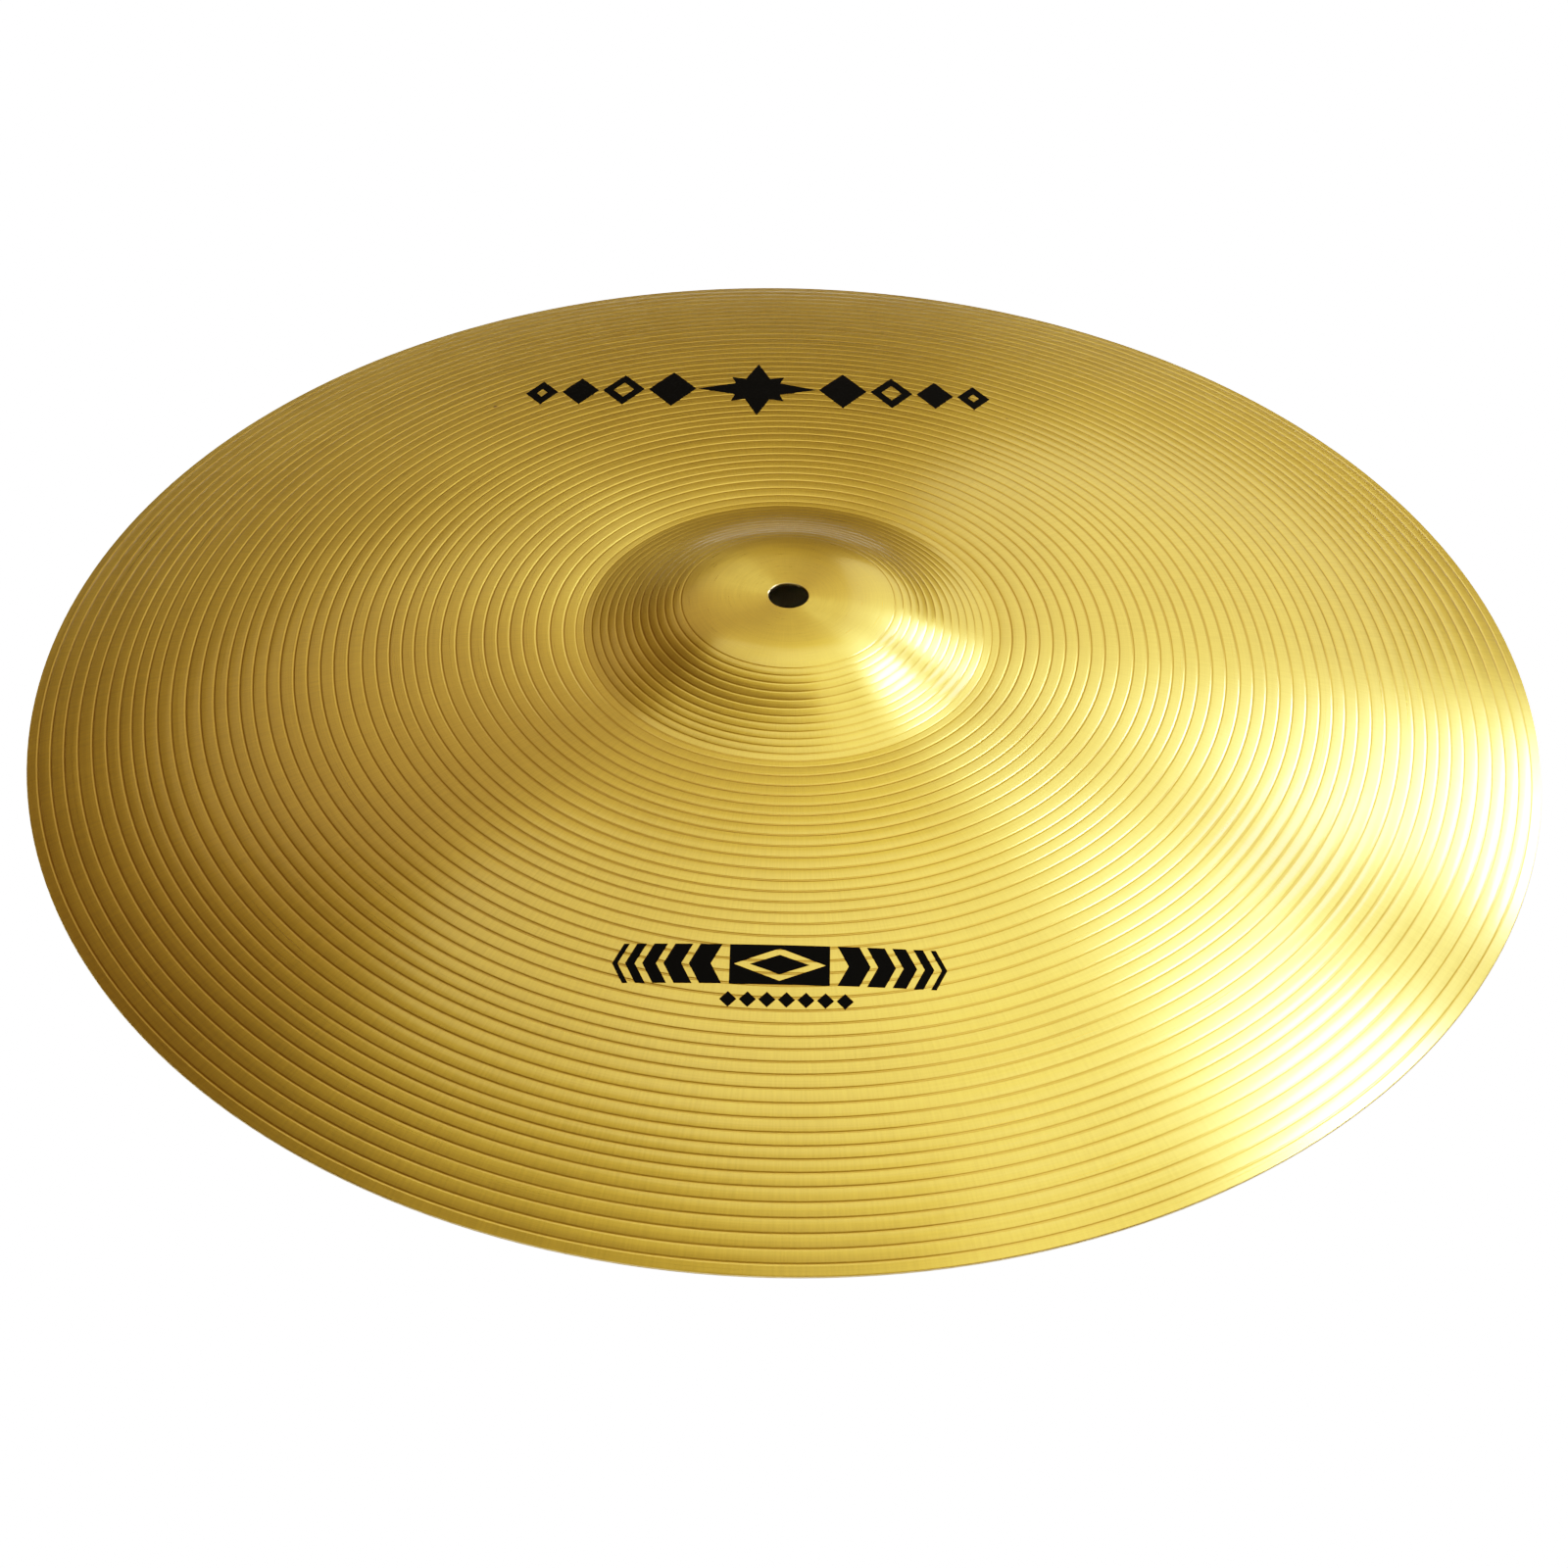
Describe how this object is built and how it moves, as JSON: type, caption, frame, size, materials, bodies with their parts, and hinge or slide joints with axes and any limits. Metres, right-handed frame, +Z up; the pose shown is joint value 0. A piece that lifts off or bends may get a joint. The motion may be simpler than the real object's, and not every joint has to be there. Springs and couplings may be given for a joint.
{
  "type": "crash cymbal",
  "caption": "Crash cymbal: a shallow bowed brass disc with a raised bell, a centre hole for a stand, concentric turned grooves and black printed ornament.",
  "frame": {"origin": "on the cymbal's axis, in the plane that its rim rests on", "axes": "+Z up along the cymbal's axis, out of the bell; +Y towards the upper print; -Y towards the lower print"},
  "size_m": [0.4572, 0.4572, 0.0373],
  "materials": {
    "brass": "brushed round the axis under clear lacquer",
    "ink": "satin black screen print"
  },
  "bodies": {
    "root": {"cymbal_plate": "brass", "upper_print": "ink", "lower_print": "ink", "small_print": "ink"}
  },
  "joints": []
}
